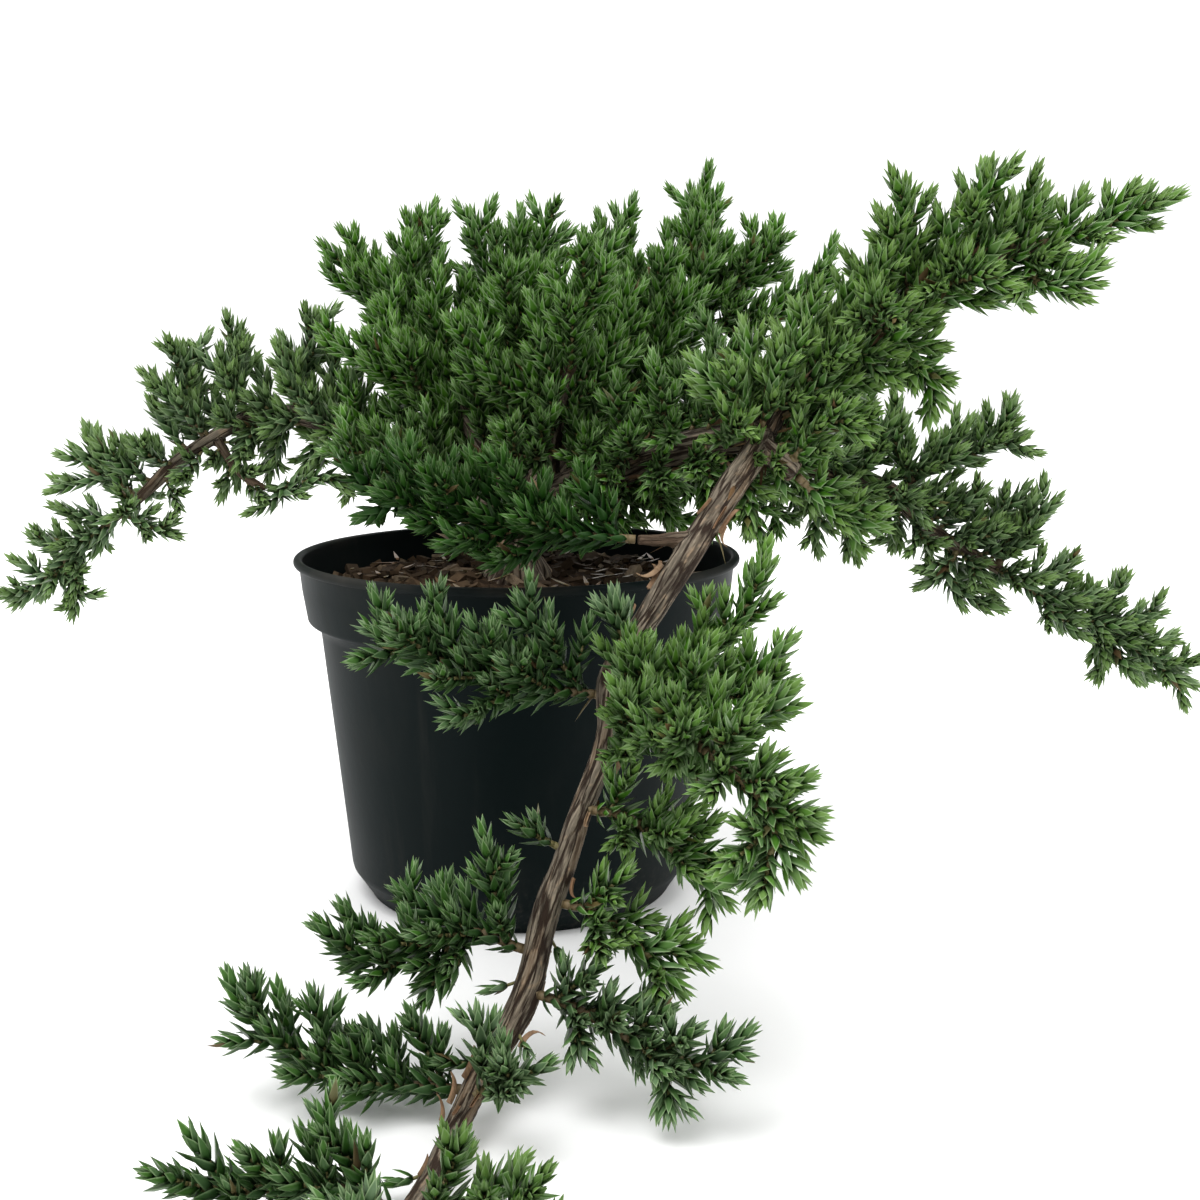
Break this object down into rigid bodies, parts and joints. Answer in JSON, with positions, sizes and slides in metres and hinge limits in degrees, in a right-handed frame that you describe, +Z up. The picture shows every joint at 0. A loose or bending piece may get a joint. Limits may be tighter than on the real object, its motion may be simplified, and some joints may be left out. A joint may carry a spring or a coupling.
{
  "type": "potted juniper plant",
  "caption": "Young spreading juniper in a round plastic nursery pot, one limb trailing over the rim to the surface.",
  "frame": {"origin": "centre of the pot's flat underside, on the surface that it stands on", "axes": "+Z up along the pot's axis, -Y towards the side that the trailing limb hangs over, +X to the right as seen from there"},
  "size_m": [0.3256, 0.2971, 0.1807],
  "materials": {
    "pot_plastic": "satin",
    "soil": "matte",
    "bark": "matte",
    "foliage": "satin"
  },
  "bodies": {
    "root": {"nursery_pot": "pot_plastic", "potting_soil": "soil", "juniper_wood": "bark", "spray_trail_left_rim": "foliage", "spray_trail_left_high": "foliage", "spray_trail_left_tuft": "foliage", "spray_trail_left_middle": "foliage", "spray_trail_left_low": "foliage", "spray_trail_left_end": "foliage", "spray_trail_front_tuft": "foliage", "spray_trail_right_upright": "foliage", "spray_trail_right_high": "foliage", "spray_trail_right_near": "foliage", "spray_trail_right_middle": "foliage", "spray_trail_right_low": "foliage", "spray_trail_right_ground": "foliage", "spray_trail_front_ground": "foliage", "spray_trail_right_end": "foliage", "spray_trail_tip": "foliage", "spray_rising_tip": "foliage", "spray_rising_top": "foliage", "spray_rising_upright": "foliage", "spray_rising_outer_front": "foliage", "spray_rising_front": "foliage", "spray_rising_under": "foliage", "spray_rising_back": "foliage", "spray_rising_lower": "foliage", "spray_rising_droop": "foliage", "spray_rising_inner": "foliage", "spray_rising_base_front": "foliage", "spray_right_tip": "foliage", "spray_right_upright": "foliage", "spray_right_upper": "foliage", "spray_right_under": "foliage", "spray_right_back": "foliage", "spray_left_tip": "foliage", "spray_left_tip_upper": "foliage", "spray_left_outer": "foliage", "spray_left_upright": "foliage", "spray_left_inner": "foliage", "spray_left_under": "foliage", "spray_left_back": "foliage", "spray_crown_left_outer": "foliage", "spray_crown_left_top": "foliage", "spray_crown_left_side": "foliage", "spray_crown_middle_top": "foliage", "spray_crown_middle_front": "foliage", "spray_crown_right_inner": "foliage", "spray_crown_right_top": "foliage", "spray_crown_right_outer": "foliage", "spray_crown_right_low": "foliage", "spray_crown_front_top": "foliage", "spray_crown_front_left": "foliage", "spray_low_front": "foliage", "spray_low_left": "foliage", "spray_inner_right": "foliage", "spray_inner_under": "foliage", "spray_back_tip": "foliage", "spray_back_right": "foliage", "spray_back_left": "foliage"}
  },
  "joints": []
}
